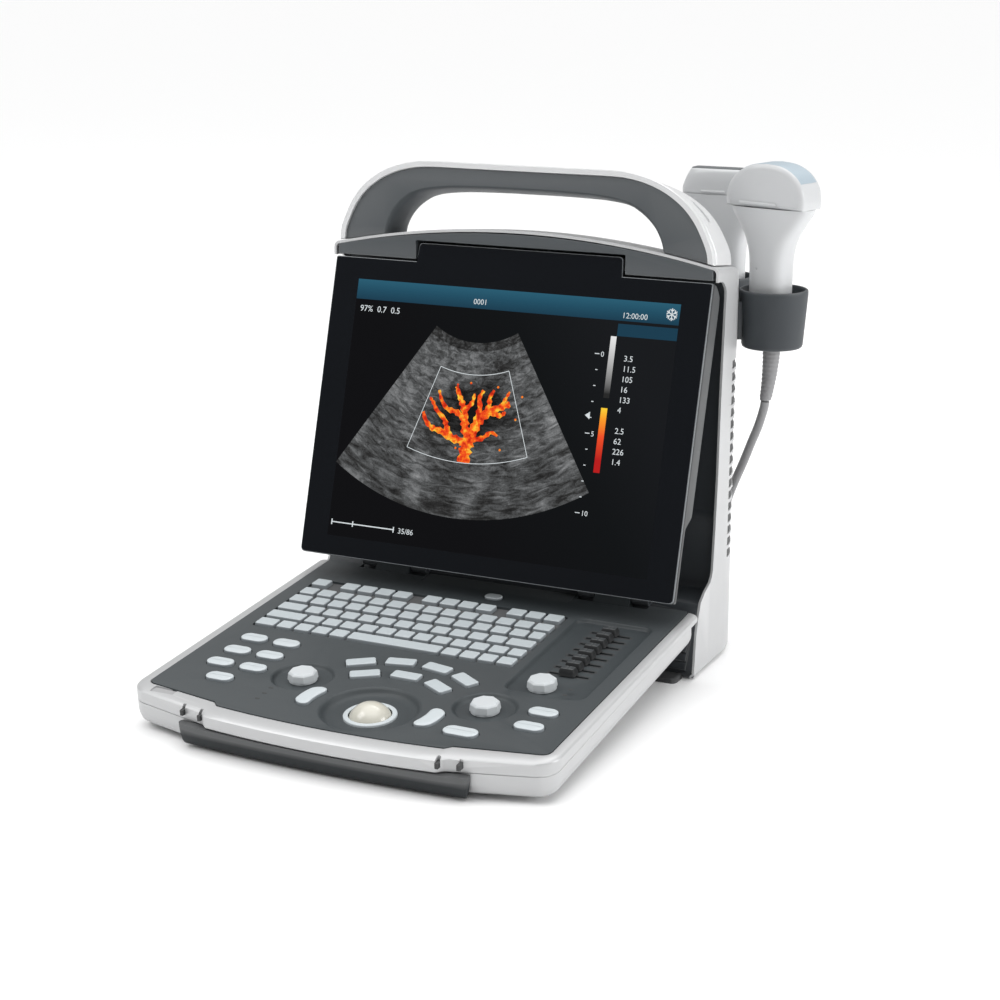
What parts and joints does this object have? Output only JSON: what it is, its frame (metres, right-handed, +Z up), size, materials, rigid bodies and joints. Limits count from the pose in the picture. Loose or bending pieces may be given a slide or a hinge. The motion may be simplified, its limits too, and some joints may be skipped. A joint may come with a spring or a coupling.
{
  "type": "ultrasound scanner",
  "caption": "Portable veterinary ultrasound scanner with a fold-down keyboard panel, a tilting screen, an arched carrying handle and probes in side cups.",
  "frame": {"origin": "middle of the footprint of the scanner and its probes, on the surface it stands on", "axes": "+X towards the probe holders, +Y towards the back, +Z up"},
  "size_m": [0.3376, 0.4797, 0.343],
  "materials": {
    "dark_plastic": "fine textured dark grey moulding",
    "silver_paint": "satin silver-white paint",
    "screen_glass": "black-backed gloss glass",
    "key_plastic": "pale grey satin",
    "ivory": "polished ivory",
    "black_plastic": "moulded black",
    "soft_rubber": "matte",
    "steel": "plain",
    "circuit_board": "green solder mask",
    "probe_plastic": "satin grey-white",
    "probe_lens": "smooth blue-grey",
    "cable": "satin mid grey"
  },
  "bodies": {
    "scanner": {"rear_housing": "silver_paint", "front_housing": "dark_plastic", "front_foot_bar": "soft_rubber", "brow_cover": "dark_plastic", "handle_band": "silver_paint", "handle_grip": "dark_plastic", "main_board": "circuit_board", "power_supply": "steel", "battery_pack": "black_plastic", "fan_frame": "black_plastic", "probe_socket": "black_plastic", "monitor_shaft": "steel", "hinge_pin_left": "steel", "hinge_pin_right": "steel", "front_probe_holder": "dark_plastic", "rear_probe_holder": "dark_plastic", "cable_fall": "cable", "cable_coil": "cable", "cable_rise": "cable", "connector": "dark_plastic"},
    "fan": {"fan_rotor": "black_plastic"},
    "monitor": {"monitor_glass": "screen_glass", "monitor_back": "silver_paint", "lcd_module": "black_plastic"},
    "panel": {"panel_cover": "dark_plastic", "panel_rim": "silver_paint", "panel_base": "silver_paint", "front_grip": "dark_plastic", "keymat": "key_plastic", "control_board": "circuit_board", "trackball_ring": "key_plastic"},
    "ball": {"trackball": "ivory"},
    "left_dial": {"left_knob": "key_plastic"},
    "right_dial": {"right_knob": "key_plastic"},
    "gain_dial": {"gain_knob": "key_plastic"},
    "curved_probe": {"probe_shell": "probe_plastic", "probe_nose": "probe_lens", "cable_relief": "cable"},
    "straight_probe": {"linear_probe": "probe_plastic"},
    "gain_1": {"gain_slider_1": "black_plastic"},
    "gain_2": {"gain_slider_2": "black_plastic"},
    "gain_3": {"gain_slider_3": "black_plastic"},
    "gain_4": {"gain_slider_4": "black_plastic"},
    "gain_5": {"gain_slider_5": "black_plastic"},
    "gain_6": {"gain_slider_6": "black_plastic"},
    "gain_7": {"gain_slider_7": "black_plastic"},
    "gain_8": {"gain_slider_8": "black_plastic"},
    "power_button_cap": {"power_button": "key_plastic"},
    "freeze_button_cap": {"freeze_button": "key_plastic"},
    "left_kidney_button_cap": {"left_kidney_button": "key_plastic"},
    "right_kidney_button_cap": {"right_kidney_button": "key_plastic"},
    "left_button_1_cap": {"left_button_1": "key_plastic"},
    "left_button_2_cap": {"left_button_2": "key_plastic"},
    "left_button_3_cap": {"left_button_3": "key_plastic"},
    "left_button_4_cap": {"left_button_4": "key_plastic"},
    "left_button_5_cap": {"left_button_5": "key_plastic"},
    "left_button_6_cap": {"left_button_6": "key_plastic"},
    "left_button_7_cap": {"left_button_7": "key_plastic"},
    "right_button_1_cap": {"right_button_1": "key_plastic"},
    "right_button_2_cap": {"right_button_2": "key_plastic"}
  },
  "joints": [
    {"name": "panel_fold", "type": "hinge", "parent": "scanner", "child": "panel", "pos_m": [-0.02065, 0.04845, 0.0525], "axis": [-1, 0, 0], "range_deg": [0, 94.65]},
    {"name": "monitor_tilt", "type": "hinge", "parent": "scanner", "child": "monitor", "pos_m": [-0.02065, 0.07833, 0.27546], "axis": [1, 0, 0], "range_deg": [0, 17.5]},
    {"name": "fan_spin", "type": "hinge", "parent": "scanner", "child": "fan", "pos_m": [0.08835, 0.12945, 0.19], "axis": [1, 0, 0], "continuous": true},
    {"name": "ball_roll", "type": "hinge", "parent": "panel", "child": "ball", "pos_m": [-0.00865, -0.16496, 0.02067], "axis": [1, 0, 0], "continuous": true},
    {"name": "left_dial_turn", "type": "hinge", "parent": "panel", "child": "left_dial", "pos_m": [-0.07265, -0.13919, 0.0307], "axis": [0, -0.0811, 0.9967], "continuous": true},
    {"name": "right_dial_turn", "type": "hinge", "parent": "panel", "child": "right_dial", "pos_m": [0.05715, -0.1377, 0.03082], "axis": [0, -0.0811, 0.9967], "continuous": true},
    {"name": "gain_dial_turn", "type": "hinge", "parent": "panel", "child": "gain_dial", "pos_m": [0.07585, -0.09434, 0.03435], "axis": [0, -0.0811, 0.9967], "continuous": true},
    {"name": "gain_1_slide", "type": "slide", "parent": "panel", "child": "gain_1", "axis": [1, 0, 0], "range_m": [-0.0115, 0.0115]},
    {"name": "gain_2_slide", "type": "slide", "parent": "panel", "child": "gain_2", "axis": [1, 0, 0], "range_m": [-0.0115, 0.0115]},
    {"name": "gain_3_slide", "type": "slide", "parent": "panel", "child": "gain_3", "axis": [1, 0, 0], "range_m": [-0.0115, 0.0115]},
    {"name": "gain_4_slide", "type": "slide", "parent": "panel", "child": "gain_4", "axis": [1, 0, 0], "range_m": [-0.0115, 0.0115]},
    {"name": "gain_5_slide", "type": "slide", "parent": "panel", "child": "gain_5", "axis": [1, 0, 0], "range_m": [-0.0115, 0.0115]},
    {"name": "gain_6_slide", "type": "slide", "parent": "panel", "child": "gain_6", "axis": [1, 0, 0], "range_m": [-0.0115, 0.0115]},
    {"name": "gain_7_slide", "type": "slide", "parent": "panel", "child": "gain_7", "axis": [1, 0, 0], "range_m": [-0.0115, 0.0115]},
    {"name": "gain_8_slide", "type": "slide", "parent": "panel", "child": "gain_8", "axis": [1, 0, 0], "range_m": [-0.0115, 0.0115]},
    {"name": "power_button_press", "type": "slide", "parent": "panel", "child": "power_button_cap", "axis": [0, 0.0811, -0.9967], "range_m": [0, 0.0012], "stiffness_N_per_m": 300},
    {"name": "freeze_button_press", "type": "slide", "parent": "panel", "child": "freeze_button_cap", "axis": [0, 0.0811, -0.9967], "range_m": [0, 0.0012], "stiffness_N_per_m": 300},
    {"name": "left_kidney_button_press", "type": "slide", "parent": "panel", "child": "left_kidney_button_cap", "axis": [0, 0.0811, -0.9967], "range_m": [0, 0.0012], "stiffness_N_per_m": 300},
    {"name": "right_kidney_button_press", "type": "slide", "parent": "panel", "child": "right_kidney_button_cap", "axis": [0, 0.0811, -0.9967], "range_m": [0, 0.0012], "stiffness_N_per_m": 300},
    {"name": "left_button_1_press", "type": "slide", "parent": "panel", "child": "left_button_1_cap", "axis": [0, 0.0811, -0.9967], "range_m": [0, 0.0012], "stiffness_N_per_m": 300},
    {"name": "left_button_2_press", "type": "slide", "parent": "panel", "child": "left_button_2_cap", "axis": [0, 0.0811, -0.9967], "range_m": [0, 0.0012], "stiffness_N_per_m": 300},
    {"name": "left_button_3_press", "type": "slide", "parent": "panel", "child": "left_button_3_cap", "axis": [0, 0.0811, -0.9967], "range_m": [0, 0.0012], "stiffness_N_per_m": 300},
    {"name": "left_button_4_press", "type": "slide", "parent": "panel", "child": "left_button_4_cap", "axis": [0, 0.0811, -0.9967], "range_m": [0, 0.0012], "stiffness_N_per_m": 300},
    {"name": "left_button_5_press", "type": "slide", "parent": "panel", "child": "left_button_5_cap", "axis": [0, 0.0811, -0.9967], "range_m": [0, 0.0012], "stiffness_N_per_m": 300},
    {"name": "left_button_6_press", "type": "slide", "parent": "panel", "child": "left_button_6_cap", "axis": [0, 0.0811, -0.9967], "range_m": [0, 0.0012], "stiffness_N_per_m": 300},
    {"name": "left_button_7_press", "type": "slide", "parent": "panel", "child": "left_button_7_cap", "axis": [0, 0.0811, -0.9967], "range_m": [0, 0.0012], "stiffness_N_per_m": 300},
    {"name": "right_button_1_press", "type": "slide", "parent": "panel", "child": "right_button_1_cap", "axis": [0, 0.0811, -0.9967], "range_m": [0, 0.0012], "stiffness_N_per_m": 300},
    {"name": "right_button_2_press", "type": "slide", "parent": "panel", "child": "right_button_2_cap", "axis": [0, 0.0811, -0.9967], "range_m": [0, 0.0012], "stiffness_N_per_m": 300},
    {"name": "curved_probe_lift", "type": "slide", "parent": "scanner", "child": "curved_probe", "axis": [0, 0, 1], "range_m": [0, 0.05]},
    {"name": "straight_probe_lift", "type": "slide", "parent": "scanner", "child": "straight_probe", "axis": [0, 0, 1], "range_m": [0, 0.05]}
  ],
  "couplings": [
    {"joint": "monitor_tilt", "follows": "panel_fold", "ratio": 0.18489}
  ]
}
